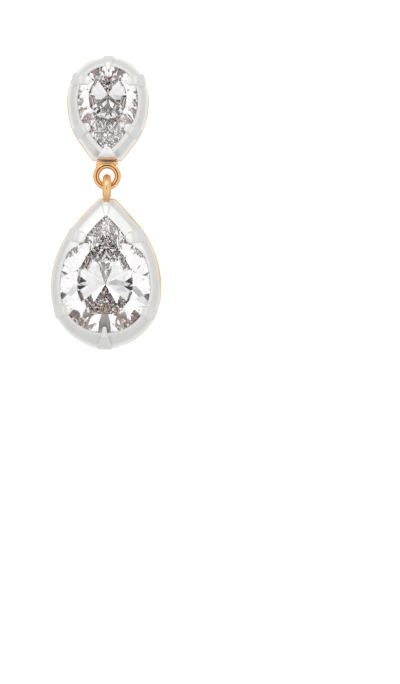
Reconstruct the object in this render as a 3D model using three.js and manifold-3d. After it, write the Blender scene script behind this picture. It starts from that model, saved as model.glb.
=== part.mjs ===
// Teardrop earring: a small pear-cut stone in a silver collet, point down, with a larger
// pear-cut stone in a matching collet hanging under it, point up. Both collets stand on gold
// backs. The stud's back carries a round eye seen face on, and the drop's back carries a bail
// seen edge on that hangs in it.
//
// Millimetres. +Z is up, +X is to the viewer's right and the front faces -Y. The origin is on
// the back of the stud, where the ear post starts.
//
// Each setting is drawn in its own frame first: x across, y towards the pear's point, z from
// the back plane towards the viewer.
import * as THREE from "three";
import { mergeVertices } from "three/addons/utils/BufferGeometryUtils.js";
import Module from "manifold-3d";

const wasm = await Module();
wasm.setup();

// Clearances
const SEAT_GAP = 0.05; // stone to collet
const BACK_GAP = 0.05; // collet to gold back
const LUG_GAP = 0.06; // gold lug to the silver beside it
const CUT_TOLERANCE = 0.003; // surfaces nearer than this meet as one where solids are cut

// Shape of every pear outline
const HEAD_POWER = 2.08; // 2 is an ellipse, more is squarer
const FLANK_POWER = 2.05; // 2 is a parabola from the widest line to the point
const SIDE_STEPS = 28; // outline steps from the head's end to the point, each side

// Stud, point down
const STUD_SIZES = {
  stone: { halfWidth: 3.05, head: 3.5, tail: 5.45 },
  band: { side: 0.97, head: 0.98, tip: 0.27 },
  backShift: { x: 0.05, y: 0.05 },
  tipHalfWidth: 1.4,
  tipLap: 0.3,
  culetShift: -0.7,
  pavilion: 2.45,
  girdle: 0.15,
  crown: 0.85,
  clawRise: 0.34,
};

// Drop, point up
const DROP_SIZES = {
  stone: { halfWidth: 4.5, head: 4.65, tail: 8.1 },
  band: { side: 0.94, head: 1.49, tip: 0.46 },
  backShift: { x: 0.1, y: 0.08 },
  tipHalfWidth: 0.75,
  tipLap: 0.85,
  culetShift: 0.25,
  pavilion: 3.75,
  girdle: 0.2,
  crown: 1.3,
  clawRise: 0.42,
};

// Stones
const TABLE_SHARE = 0.6; // of the outline
const STAR_TILT = 19; // degrees off the table
const CULET_ABOVE_BACK = 0.2;

// Collets
const RIM_WALL = 0.15; // silver outside the stone's edge at the rim
const RIM_LAP = 0.14; // silver over the stone's edge, and each setting's tipLap near its point
const LAP_START = 1.4; // where the lap widens, along as for the claws
const LAP_END = 1.7;
const RIM_ABOVE_GIRDLE = 0.26;
const EDGE_HEIGHT = 0.32; // upright edge at the outline
const FOOT_THICKNESS = 0.65;
const LEDGE = 0.42; // seat under the stone, inside its outline
const COVE_POWER = 2.4; // 1 is a straight slope, more is hollower
const COVE_SPREAD = 0.6; // below 1 sets the steps closer where the hollow is steep
const COVE_STEPS = 6;
const SCALLOP = 0.13; // outline drawn in between claws
const CLAW_LIFT = 0.1; // claw above the rim where it crosses it
const CLAW_OUT = 0.06; // claw outside the outline
const CLAW_CLIMB = 0.5; // share of a claw's length over which it climbs to the rim

// Gold backs
const BACK_THICKNESS = 0.6;
const BACK_OVERHANG = 0.04; // past the silver outline
const BACK_EDGE = 0.12; // bevel

// Eye on the stud, bail on the drop
const EYE_WIRE = 0.64;
const EYE_HOLE = 1.46;
const EYE_BELOW_TIP = 1.58; // eye centre below the stud's cut tip
const EYE_FORWARD = 1.3; // eye plane in front of the stud's back face
const NECK_WIDTH = 2.1;
const NECK_DEPTH = 0.3;
const NECK_END = { halfWidth: 1.17, aboveEye: 0.62 }; // where the neck runs into the eye's wire
const BAIL_WIRE = 0.86;
const BAIL_HOLE = 1.06;
const BAIL_SLACK = 0.1; // bail's inner edge above the eye's wire at rest
const BAIL_FORWARD = 2.45; // bail centre in front of the drop's back face
const FOOT_WIDTH = 0.6; // bail's foot in the notch of the silver tip
const FOOT_SINK = 0.3; // how far the foot reaches into the cut tip
const LINK_SIDES = 16;
const WIRE_SIDES = 6;

// Ear post
const POST_DIAMETER = 0.8;
const POST_LENGTH = 10;
const POST_ABOVE_WIDEST = 0.8; // post above the stud's widest line
const POST_PAD = { diameter: 2.4, height: 0.35 };
const POST_GROOVE = { fromTip: 1.6, length: 0.6, depth: 0.12 };
const POST_SIDES = 14;

// Claws, mirrored where the side is 1. along: 0 is the head's end, 1 the widest line and 2 the
// point. turn: degrees towards the point from straight across. reach is over the stone and start
// inside the outline, in mm. flare: 1 tapers evenly from base to tip, more widens near the base.
const STUD_CLAWS = [
  { along: 0, side: 0, turn: 90, base: 1.15, tip: 0.42, reach: 0.5, flare: 1.2 },
  { along: 0.69, side: 1, turn: 8, base: 1.3, tip: 0.95, reach: 0.95, flare: 1.4 },
  { along: 1.57, side: 1, turn: -27, base: 1.2, tip: 0.95, reach: 0.66, flare: 1.4 },
  { along: 2, side: 0, turn: -90, base: 1.9, tip: 0.95, reach: 1.0, flare: 1.0 },
];
const DROP_CLAWS = [
  { along: 0, side: 0, turn: 90, base: 1.75, tip: 0.4, reach: 0.75, flare: 1.7 },
  { along: 0.73, side: 1, turn: 12, base: 1.4, tip: 0.9, reach: 0.72, flare: 1.2 },
  { along: 1.6, side: 1, turn: -16, base: 1.4, tip: 1.2, reach: 1.05, flare: 1.4 },
  { along: 2, side: 0, turn: -90, base: 1.3, tip: 0.3, reach: 1.3, flare: 1.0, start: 0.36 },
];

// Facets, mirrored where side is 1. along as for the claws. The underside has none at the point,
// so a keel runs there from the culet.
const MAIN_FACETS = [
  { along: 0, side: 0, under: true },
  { along: 0.5, side: 1, under: true },
  { along: 1, side: 1, under: true },
  { along: 1.55, side: 1, under: true },
  { along: 2, side: 0, under: false },
];
const HALF_FACETS = [0.16, 0.34, 0.66, 0.84, 1.17, 1.38, 1.7, 1.88];
const STAR_FACETS = [0.25, 0.75, 1.27, 1.76];

const silver = new THREE.MeshStandardMaterial({ color: 0xe4e6e6, metalness: 1, roughness: 0.4 });
const gold = new THREE.MeshStandardMaterial({ color: 0xd8a66a, metalness: 1, roughness: 0.22 });
const crystal = new THREE.MeshStandardMaterial({
  color: 0xf2f4f6,
  roughness: 0.02,
  transparent: true,
  opacity: 0.6,
});

const lerp = THREE.MathUtils.lerp;

/** A setting with its silver outline: the stone's pear and the band of silver round it. */
function framed(setting) {
  const { stone, band, tipHalfWidth } = setting;
  const halfWidth = stone.halfWidth + band.side;
  const cut = stone.tail + band.tip;
  const tail = cut / (1 - tipHalfWidth / halfWidth) ** (1 / FLANK_POWER);
  return { ...setting, outline: { halfWidth, head: stone.head + band.head, tail, cut } };
}

const STUD = framed(STUD_SIZES);
const DROP = framed(DROP_SIZES);

/** The closed solid of a three.js geometry, whichever way round its faces were drawn. */
function solid(geometry) {
  const bare = new THREE.BufferGeometry().setAttribute(
    "position",
    (geometry.index ? geometry.toNonIndexed() : geometry).getAttribute("position"),
  );
  const merged = mergeVertices(bare, 1e-5);
  const corners = new Uint32Array(merged.index.array);
  const closed = () =>
    new wasm.Manifold(
      new wasm.Mesh({
        numProp: 3,
        vertProperties: new Float32Array(merged.attributes.position.array),
        triVerts: corners,
      }),
    );
  const made = closed();
  return made.volume() < 0 ? ((corners.reverse(), closed())) : made;
}

/** A named mesh of a solid, set into the earring by a placement matrix. */
function piece(name, made, material, placement) {
  const mesh = made.setTolerance(CUT_TOLERANCE).getMesh();
  const step = mesh.numProp;
  const positions = new Float32Array(mesh.numVert * 3);
  for (let i = 0; i < mesh.numVert; i++)
    positions.set(mesh.vertProperties.subarray(i * step, i * step + 3), i * 3);
  const geometry = new THREE.BufferGeometry()
    .setAttribute("position", new THREE.BufferAttribute(positions, 3))
    .setIndex(new THREE.BufferAttribute(mesh.triVerts, 1))
    .applyMatrix4(placement);
  geometry.computeVertexNormals();
  const part = new THREE.Mesh(geometry, material.clone());
  part.name = name;
  return part;
}

/** A loft through rings of equal length: closed on itself, or with a cap at each end. */
function loft(rings, wraps) {
  const count = rings[0].length;
  const last = wraps ? rings.length : rings.length - 1;
  const points = [];
  const triangle = (a, b, c) => points.push(...a, ...b, ...c);
  for (let i = 0; i < last; i++) {
    const here = rings[i];
    const next = rings[(i + 1) % rings.length];
    for (let j = 0; j < count; j++) {
      const k = (j + 1) % count;
      triangle(here[j], next[j], next[k]);
      triangle(here[j], next[k], here[k]);
    }
  }
  if (!wraps) {
    const end = rings[rings.length - 1];
    for (let j = 1; j < count - 1; j++) {
      triangle(rings[0][0], rings[0][j], rings[0][j + 1]);
      triangle(end[0], end[j + 1], end[j]);
    }
  }
  return new THREE.BufferGeometry().setAttribute(
    "position",
    new THREE.Float32BufferAttribute(points, 3),
  );
}

/** A pear drawn in by a distance all round, its point moving back further than its sides. */
function inset(pear, distance) {
  const slope = (pear.halfWidth * FLANK_POWER) / pear.tail;
  return {
    halfWidth: pear.halfWidth - distance,
    head: pear.head - distance,
    tail: pear.tail - distance * Math.hypot(1, 1 / slope),
    cut: pear.cut && pear.cut - distance,
  };
}

/** A point of a pear's right half. along: 0 is the head's end, 1 the widest line, 2 the end. */
function outlineAt(pear, along, cutShare) {
  if (along <= 1) {
    const angle = (along * Math.PI) / 2;
    return new THREE.Vector2(
      pear.halfWidth * Math.max(Math.sin(angle), 0) ** (2 / HEAD_POWER),
      -pear.head * Math.max(Math.cos(angle), 0) ** (2 / HEAD_POWER),
    );
  }
  const share = (along - 1) * cutShare;
  return new THREE.Vector2(
    pear.halfWidth * (1 - share ** FLANK_POWER),
    pear.tail * share,
  );
}

/** All points round a pear from the head's end, with two shares of 0 to 1: how far each is drawn
 *  in between claws, and how far silver caps the stone there. */
function stations(pear, cutShare, claws = []) {
  const marks = claws.map((claw) => claw.along);
  const half = [];
  for (let i = 0; i <= SIDE_STEPS; i++) {
    const along = (2 * i) / SIDE_STEPS;
    const point = outlineAt(pear, along, cutShare);
    let drawn = 0;
    for (let k = 0; k + 1 < marks.length; k++)
      if (along > marks[k] && along < marks[k + 1])
        drawn = Math.sin((Math.PI * (along - marks[k])) / (marks[k + 1] - marks[k])) ** 2;
    const capped = THREE.MathUtils.smoothstep(along, LAP_START, LAP_END);
    half.push({ x: point.x, y: point.y, drawn, capped });
  }
  const end = { x: 0, y: pear.cut ? pear.cut : pear.tail, drawn: 0, capped: 1 };
  const left = half.slice(1).reverse().map((p) => ({ ...p, x: -p.x }));
  return [...half, end, ...left];
}

/** Heights of one setting above its back plane. */
function levels(setting) {
  const bottom = BACK_THICKNESS + BACK_GAP;
  const culet = BACK_THICKNESS + CULET_ABOVE_BACK;
  const girdleLow = culet + setting.pavilion;
  const girdleTop = girdleLow + setting.girdle;
  return {
    bottom,
    culet,
    girdleLow,
    girdleTop,
    table: girdleTop + setting.crown,
    edge: bottom + EDGE_HEIGHT,
    rim: girdleTop + RIM_ABOVE_GIRDLE,
  };
}

/** Share of a pear's flank where the setting's cut tip falls. */
function cutShareOf(setting) {
  return setting.outline.cut / setting.outline.tail;
}

/** Height share of the collet's hollow surface at a share of the band's width. */
function cove(share) {
  return Math.min(Math.max(share, 0), 1) ** COVE_POWER;
}

/** A brilliant-cut pear, with every facet moved out by grow. */
function stone(setting, grow) {
  const level = levels(setting);
  const share = cutShareOf(setting);
  const girdle = stations(inset(setting.stone, -grow), 1).filter(
    (p, i, all) => i === 0 || Math.hypot(p.x - all[i - 1].x, p.y - all[i - 1].y) > 1e-6,
  );
  const shape = new THREE.Shape(girdle.map((p) => new THREE.Vector2(p.x, p.y)));
  const height = level.table + grow - level.culet + 2 * grow;
  let cut = solid(
    new THREE.ExtrudeGeometry(shape, { depth: height, bevelEnabled: false }).translate(
      0,
      0,
      level.culet - 2 * grow,
    ),
  );
  const keepUnder = (at, normal) => {
    const n = normal.clone().normalize();
    cut = cut.trimByPlane([-n.x, -n.y, -n.z], -(n.dot(at) + grow));
  };
  keepUnder(new THREE.Vector3(0, 0, level.table), new THREE.Vector3(0, 0, 1));

  const centre = new THREE.Vector2(0, setting.culetShift);
  const place = (along, side) => {
    const at =
      along < 2 ? outlineAt(setting.stone, along, share) : new THREE.Vector2(0, setting.stone.tail);
    const before = outlineAt(setting.stone, Math.max(along - 0.01, 0), share);
    const after = outlineAt(setting.stone, along + 0.01, share);
    const tangent = side ? after.sub(before).normalize() : new THREE.Vector2(along ? -1 : 1, 0);
    return [at, tangent];
  };
  /** Cuts a facet that holds the outline's tangent at a height and passes through a target. */
  const facet = (along, side, height, inward, rise) => {
    const [at, tangent] = place(along, side);
    for (const mirror of side ? [1, -1] : [1]) {
      const a = new THREE.Vector3(at.x * mirror, at.y, height);
      const run = new THREE.Vector3(tangent.x, tangent.y * mirror, 0);
      const to = new THREE.Vector3(
        lerp(at.x, centre.x, inward) * mirror,
        lerp(at.y, centre.y, inward),
        height + rise,
      );
      const normal = run.cross(to.sub(a));
      if (normal.z * rise < 0) normal.negate();
      keepUnder(a, normal);
    }
  };
  const crown = setting.crown;
  const down = -setting.pavilion;
  for (const main of MAIN_FACETS) {
    facet(main.along, main.side, level.girdleTop, 1 - TABLE_SHARE, crown);
    if (main.under) facet(main.along, main.side, level.girdleLow, 1, down);
  }
  for (const along of HALF_FACETS) {
    facet(along, 1, level.girdleTop, 0.5 * (1 - TABLE_SHARE), 0.56 * crown);
    facet(along, 1, level.girdleLow, 0.78, 0.8 * down);
  }
  for (const along of STAR_FACETS) {
    const [at, tangent] = place(along, 1);
    for (const mirror of [1, -1]) {
      const edge = new THREE.Vector3(
        lerp(at.x, centre.x, 1 - TABLE_SHARE) * mirror,
        lerp(at.y, centre.y, 1 - TABLE_SHARE),
        level.table,
      );
      const tilt = THREE.MathUtils.degToRad(STAR_TILT);
      keepUnder(
        edge,
        new THREE.Vector3(
          tangent.y * mirror * Math.sin(tilt),
          -tangent.x * Math.sin(tilt),
          Math.cos(tilt),
        ),
      );
    }
  }
  return cut;
}

/** Slope of the crown along the flank, from the widest line to the point. */
function capSlope(setting) {
  const { halfWidth, tail } = setting.stone;
  return setting.crown / ((1 - TABLE_SHARE) * tail * Math.sin(Math.atan(halfWidth / (0.5 * tail))));
}

/** The collet's wall: an upright edge, a hollow slope to the rim and a core for the hollow. */
function wall(setting, claws) {
  const level = levels(setting);
  const share = cutShareOf(setting);
  const outer = stations(setting.outline, share, claws);
  const crest = stations(inset(setting.stone, -RIM_WALL), share);
  const rim = stations(inset(setting.stone, RIM_LAP), share);
  const cap = stations(inset(setting.stone, setting.tipLap), share);
  const capRise = (setting.tipLap - RIM_LAP) * capSlope(setting);
  const core = stations(inset(setting.stone, 2 * LEDGE), share);
  const rings = outer.map((point, i) => {
    const drawn = 1 - (SCALLOP * point.drawn) / Math.hypot(point.x, point.y);
    const edge = { x: point.x * drawn, y: point.y * drawn };
    const ring = [[edge.x, edge.y, level.bottom]];
    for (let k = 0; k <= COVE_STEPS; k++) {
      const across = (k / COVE_STEPS) ** COVE_SPREAD;
      ring.push([
        lerp(edge.x, crest[i].x, across),
        lerp(edge.y, crest[i].y, across),
        lerp(level.edge, level.rim, cove(across)),
      ]);
    }
    ring.push([
      lerp(rim[i].x, cap[i].x, point.capped),
      lerp(rim[i].y, cap[i].y, point.capped),
      level.rim + capRise * point.capped,
    ]);
    ring.push([core[i].x, core[i].y, level.girdleLow - LEDGE]);
    ring.push([core[i].x, core[i].y, level.bottom]);
    return ring;
  });
  return solid(loft(rings, true));
}

/** The hollow inside a collet, from its open back to the seat under the stone. */
function hollow(setting) {
  const level = levels(setting);
  const share = cutShareOf(setting);
  const foot = stations(inset(setting.outline, FOOT_THICKNESS), share);
  const ledge = stations(inset(setting.stone, LEDGE), share);
  const at = (points, height) => points.map((p) => [p.x, p.y, height]);
  return solid(
    loft(
      [
        at(foot, level.bottom - BACK_GAP),
        at(foot, level.bottom),
        at(ledge, level.girdleLow - LEDGE),
        at(ledge, level.girdleLow),
      ],
      false,
    ),
  );
}

/** One claw: a rib up the wall with a rounded end over the stone. */
function claw(setting, spec, mirror) {
  const level = levels(setting);
  const share = cutShareOf(setting);
  const base =
    spec.along < 2
      ? outlineAt(setting.outline, spec.along, share)
      : new THREE.Vector2(0, setting.outline.cut);
  const inner =
    spec.along < 2
      ? outlineAt(setting.stone, spec.along, share)
      : new THREE.Vector2(0, setting.stone.tail);
  const turn = THREE.MathUtils.degToRad(spec.turn);
  const inward = new THREE.Vector2(-Math.cos(turn) * mirror, Math.sin(turn));
  const across = new THREE.Vector2(-inward.y, inward.x);
  const start = new THREE.Vector2(base.x * mirror, base.y);
  const band = base.distanceTo(inner);
  const length = band + spec.reach;
  const crownSlope = setting.crown / ((1 - TABLE_SHARE) * inner.distanceTo(new THREE.Vector2()));

  const topAt = (run) => {
    const climb = Math.min((run + 2 * CLAW_OUT) / (CLAW_CLIMB * length), 1);
    const over = Math.max(run - band, 0) * crownSlope;
    return lerp(level.edge, level.rim + CLAW_LIFT, Math.sin((climb * Math.PI) / 2)) + over;
  };
  const lowAt = (run) => (run < band ? level.bottom : level.girdleLow);
  const tipRound = Math.min(0.5 * spec.tip, 0.5 * spec.reach);
  const runs = [
    ...[0, 0.12, 0.32, 0.56, 0.8, 1].map((share) => lerp(spec.start ?? -CLAW_OUT, band, share)),
    band + 0.5 * (spec.reach - tipRound),
    length - tipRound,
    length - 0.35 * tipRound,
    length,
  ];
  const rings = runs.map((run, i) => {
    const along = run / length;
    const fromTip = length - run;
    const round =
      fromTip < tipRound ? Math.sqrt(Math.max(0.08, 1 - (1 - fromTip / tipRound) ** 2)) : 1;
    const outerRound = i === 0 ? 0.6 : 1;
    const taper = (1 - Math.max(along, 0)) ** spec.flare;
    const half = 0.5 * lerp(spec.tip, spec.base, taper) * round * outerRound;
    const rise = setting.clawRise * THREE.MathUtils.smoothstep(run, 0, band) * round;
    const top = topAt(Math.min(run, length - 0.3 * tipRound)) + rise * 0.8;
    const low = Math.min(lowAt(run), top - 0.3);
    const arch = Math.min(0.75 * half, top - low);
    const section = [
      [1, low],
      [1, top - arch],
      [0.78, top - 0.42 * arch],
      [0.4, top - 0.09 * arch],
      [-0.4, top - 0.09 * arch],
      [-0.78, top - 0.42 * arch],
      [-1, top - arch],
      [-1, low],
    ];
    return section.map(([side, height]) => [
      start.x + inward.x * run + across.x * side * half,
      start.y + inward.y * run + across.y * side * half,
      height,
    ]);
  });
  return solid(loft(rings, false));
}

/** A collet with its claws, cut out to seat its stone. */
function collet(setting, claws) {
  let made = wall(setting, claws);
  for (const spec of claws)
    for (const mirror of spec.side ? [1, -1] : [1]) made = made.add(claw(setting, spec, mirror));
  return made.subtract(hollow(setting)).subtract(stone(setting, SEAT_GAP));
}

/** A flat gold plate behind a collet, a little larger than it and off its centre by the setting's
 *  backShift, with a bevelled edge. */
function backPlate(setting) {
  const edge = inset(setting.outline, BACK_EDGE - BACK_OVERHANG);
  const shape = new THREE.Shape(
    stations(edge, cutShareOf(setting)).map((p) => new THREE.Vector2(p.x, p.y)),
  );
  return solid(
    new THREE.ExtrudeGeometry(shape, {
      depth: BACK_THICKNESS - 2 * BACK_EDGE,
      bevelThickness: BACK_EDGE,
      bevelSize: BACK_EDGE,
      bevelSegments: 1,
    }).translate(setting.backShift.x, setting.backShift.y, BACK_EDGE),
  );
}

/** A plain box between two corners. */
function block(low, high) {
  const size = high.map((value, axis) => value - low[axis]);
  return solid(
    new THREE.BoxGeometry(...size).translate(...low.map((value, axis) => value + size[axis] / 2)),
  );
}

/** A round ring of wire about the z axis of its own frame. */
function ring(hole, wire) {
  const mean = (hole + wire) / 2;
  return new THREE.TorusGeometry(mean, wire / 2, WIRE_SIDES, LINK_SIDES);
}

const eyeCentre = STUD.outline.cut + EYE_BELOW_TIP;
const eyeMean = (EYE_HOLE + EYE_WIRE) / 2;
// The bail hangs on the eye's lowest wire, so its centre lies this far below the eye's centre.
const bailDrop = EYE_HOLE / 2 - BAIL_SLACK + BAIL_HOLE / 2;
const bailOuter = BAIL_HOLE / 2 + BAIL_WIRE;
const bailCentre = DROP.outline.cut - FOOT_SINK + bailOuter;

/** The stud's gold back with the neck and the eye under its point. */
function studBack() {
  const neckTop = EYE_FORWARD + EYE_WIRE / 2;
  const neckLow = STUD.outline.cut + CLAW_OUT + LUG_GAP;
  const neck = block(
    [-NECK_WIDTH / 2, neckLow, 0],
    [NECK_WIDTH / 2, neckLow + NECK_DEPTH, neckTop],
  ).add(
    block(
      [-NECK_WIDTH / 2, STUD.outline.cut - NECK_DEPTH, 0],
      [NECK_WIDTH / 2, neckLow + NECK_DEPTH, BACK_THICKNESS],
    ),
  );
  const flare = new THREE.Shape([
    new THREE.Vector2(-NECK_WIDTH / 2, neckLow),
    new THREE.Vector2(NECK_WIDTH / 2, neckLow),
    new THREE.Vector2(NECK_END.halfWidth, eyeCentre - NECK_END.aboveEye),
    new THREE.Vector2(-NECK_END.halfWidth, eyeCentre - NECK_END.aboveEye),
  ]);
  const opening = new THREE.CylinderGeometry(eyeMean, eyeMean, 2 * EYE_WIRE, 2 * LINK_SIDES)
    .rotateX(Math.PI / 2)
    .translate(0, eyeCentre, EYE_FORWARD);
  const tab = solid(
    new THREE.ExtrudeGeometry(flare, { depth: 0.8 * EYE_WIRE, bevelEnabled: false }).translate(
      0,
      0,
      EYE_FORWARD - 0.4 * EYE_WIRE,
    ),
  ).subtract(solid(opening));
  const eye = solid(ring(EYE_HOLE, EYE_WIRE).translate(0, eyeCentre, EYE_FORWARD));
  return backPlate(STUD).add(neck).add(tab).add(eye);
}

/** The drop's gold back with the lug and the bail over its point. */
function dropBack() {
  const half = FOOT_WIDTH / 2;
  const plateau = DROP.outline.cut + CLAW_OUT + LUG_GAP;
  const low = DROP.outline.cut - FOOT_SINK;
  const lug = block(
    [-half, low, 0],
    [half, bailCentre - BAIL_HOLE / 2 - BAIL_WIRE / 2, BAIL_FORWARD + BAIL_WIRE / 2],
  );
  let bail = solid(
    ring(BAIL_HOLE, BAIL_WIRE)
      .rotateY(Math.PI / 2)
      .translate(0, bailCentre, BAIL_FORWARD),
  );
  for (const side of [1, -1]) {
    const inner = side * half;
    const outer = side * BAIL_WIRE;
    bail = bail.subtract(
      block(
        [Math.min(inner, outer), low - BAIL_WIRE, -BAIL_WIRE],
        [Math.max(inner, outer), plateau, BAIL_FORWARD + 2 * bailOuter],
      ),
    );
  }
  return backPlate(DROP).add(lug).add(bail);
}

/** The notch in the drop's silver tip that the bail's foot and lug stand in. */
function notch() {
  const half = FOOT_WIDTH / 2 + LUG_GAP;
  return block(
    [-half, DROP.outline.cut - FOOT_SINK - LUG_GAP, 0],
    [half, DROP.outline.cut + 1, BAIL_FORWARD + bailOuter + LUG_GAP],
  );
}

/** The straight post that passes through the ear, with a groove near its end. */
function earPost() {
  const r = POST_DIAMETER / 2;
  const groove = POST_LENGTH - POST_GROOVE.fromTip;
  const waist = r - POST_GROOVE.depth;
  const profile = [
    [0, 0],
    [POST_PAD.diameter / 2, 0],
    [POST_PAD.diameter / 2, 0.6 * POST_PAD.height],
    [r, POST_PAD.height],
    [r, groove - POST_GROOVE.length / 2],
    [waist, groove - POST_GROOVE.length / 6],
    [waist, groove + POST_GROOVE.length / 6],
    [r, groove + POST_GROOVE.length / 2],
    [r, POST_LENGTH - 0.5 * r],
    [0.5 * r, POST_LENGTH],
    [0, POST_LENGTH],
  ];
  return solid(
    new THREE.LatheGeometry(
      profile.map(([x, y]) => new THREE.Vector2(x, y)),
      POST_SIDES,
    ),
  );
}

// Stud frame: turned so that its point is down and its front faces -Y, with the post's foot at
// the origin.
const studPlace = new THREE.Matrix4()
  .makeBasis(
    new THREE.Vector3(-1, 0, 0),
    new THREE.Vector3(0, 0, -1),
    new THREE.Vector3(0, -1, 0),
  )
  .setPosition(0, 0, -POST_ABOVE_WIDEST);
// Drop frame: point up, with its bail hanging on the eye's lowest wire.
const eyeHeight = -POST_ABOVE_WIDEST - eyeCentre;
const dropPlace = new THREE.Matrix4()
  .makeBasis(new THREE.Vector3(1, 0, 0), new THREE.Vector3(0, 0, 1), new THREE.Vector3(0, -1, 0))
  .setPosition(0, BAIL_FORWARD - EYE_FORWARD, eyeHeight - bailDrop - bailCentre);

const earring = new THREE.Group();
earring.name = "teardrop_earring";
earring.add(
  piece("stud_collet", collet(STUD, STUD_CLAWS), silver, studPlace),
  piece("stud_stone", stone(STUD, 0), crystal, studPlace),
  piece("stud_back", studBack(), gold, studPlace),
  piece("ear_post", earPost(), gold, new THREE.Matrix4()),
  piece("drop_collet", collet(DROP, DROP_CLAWS).subtract(notch()), silver, dropPlace),
  piece("drop_stone", stone(DROP, 0), crystal, dropPlace),
  piece("drop_back", dropBack(), gold, dropPlace),
);

export default earring;
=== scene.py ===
"""Dresses the teardrop earring: satin silver collets, cut stones and gold backs on a white sweep."""

import logging
import math
from collections.abc import Sequence
from dataclasses import dataclass
from enum import Enum
from typing import Any

import bmesh
import bpy
from mathutils import Matrix, Vector


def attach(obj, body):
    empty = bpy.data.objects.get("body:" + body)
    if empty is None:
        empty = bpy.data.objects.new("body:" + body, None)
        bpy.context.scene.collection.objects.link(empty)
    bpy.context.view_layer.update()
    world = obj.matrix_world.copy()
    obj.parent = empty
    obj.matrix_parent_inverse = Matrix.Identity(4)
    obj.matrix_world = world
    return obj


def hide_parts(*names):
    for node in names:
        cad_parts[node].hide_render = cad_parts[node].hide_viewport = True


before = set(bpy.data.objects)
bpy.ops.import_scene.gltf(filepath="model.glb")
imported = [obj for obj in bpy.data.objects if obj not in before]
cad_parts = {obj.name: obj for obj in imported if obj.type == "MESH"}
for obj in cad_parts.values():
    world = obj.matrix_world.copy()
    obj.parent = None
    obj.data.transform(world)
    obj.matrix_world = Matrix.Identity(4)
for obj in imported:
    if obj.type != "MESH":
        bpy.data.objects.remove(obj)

LOG = logging.getLogger("earring")
MM = 0.001
# Powers of the pear outline: the head is a shade fuller than an ellipse, the flanks than a parabola.
HEAD_POWER = 2.08
FLANK_POWER = 2.05
# Share of the way from the culet's place to the girdle at which the table ends.
TABLE_SHARE = 0.6
# Sizes of the noise patterns in mm: dull patches on metal, veils in a stone.
PATCH_SIZE = 1.6
VEIL_SIZE = 2.2

Point = tuple[float, float]
Triple = tuple[float, float, float]


class Slot(Enum):
    """The record's material slots."""

    SILVER = "silver"
    GOLD = "gold"
    STONE = "stone"


class Body(Enum):
    """The bodies of the frame that pieces ride on."""

    STUD = "stud"
    DROP = "drop"


def srgb(code: str, alpha: float = 1.0) -> tuple[float, float, float, float]:
    """Turns an sRGB hex colour to linear.

    Args:
        code: Six hex digits.
        alpha: Fourth channel.

    Returns:
        Linear red, green, blue and alpha.
    """
    values = [int(code[i : i + 2], 16) / 255 for i in (0, 2, 4)]
    r, g, b = (v / 12.92 if v <= 0.04045 else ((v + 0.055) / 1.055) ** 2.4 for v in values)
    return (r, g, b, alpha)


def mix(a: float, b: float, share: float) -> float:
    """Blends two numbers, share 0 giving the first."""
    return a + (b - a) * share


def clamp(value: float) -> float:
    """Holds a number between 0 and 1."""
    return min(max(value, 0.0), 1.0)


@dataclass(frozen=True)
class Pear:
    """A pear outline in mm: an ellipse-like head below the widest line and curved flanks to a point.

    Args:
        half_width: Half of the widest line.
        head: From the widest line to the head's end.
        tail: From the widest line to the point.
        cut: Height at which the tip is cut off, or none.
    """

    half_width: float
    head: float
    tail: float
    cut: float | None = None

    @property
    def cut_share(self) -> float:
        """Share of the flank where the tip is cut."""
        return (self.cut or self.tail) / self.tail

    def inset(self, distance: float) -> "Pear":
        """Draws the outline in by a distance all round.

        Args:
            distance: The distance in mm. A negative one widens the outline.

        Returns:
            The new outline.
        """
        slope = self.half_width * FLANK_POWER / self.tail
        return Pear(
            self.half_width - distance,
            self.head - distance,
            self.tail - distance * math.hypot(1, 1 / slope),
            None if self.cut is None else self.cut - distance,
        )

    def at(self, along: float, share: float) -> Vector:
        """A point of the right half.

        Args:
            along: 0 at the head's end, 1 at the widest line, 2 at the end of the flank.
            share: Share of the flank that 2 stands for.

        Returns:
            The point, across and up.
        """
        if along <= 1:
            angle = along * math.pi / 2
            power = 2 / HEAD_POWER
            return Vector(
                (
                    self.half_width * max(math.sin(angle), 0) ** power,
                    -self.head * max(math.cos(angle), 0) ** power,
                )
            )
        t = (along - 1) * share
        return Vector((self.half_width * (1 - t**FLANK_POWER), self.tail * t))


@dataclass(frozen=True)
class Claw:
    """One claw of a collet.

    Args:
        along: Place on the outline, as in Pear.at.
        paired: Whether it has a twin on the other side.
        turn: Degrees towards the point from straight across.
        base: Width at the outline in mm.
        tip: Width over the stone in mm.
        reach: Length over the stone in mm.
        rise: Height over the stone's crown in mm.
        flare: How sharply the base widens.
        start: Place of its outer end, in mm inside the outline.
    """

    along: float
    paired: bool
    turn: float
    base: float
    tip: float
    reach: float
    rise: float
    flare: float = 1.7
    start: float = -0.02


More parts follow.
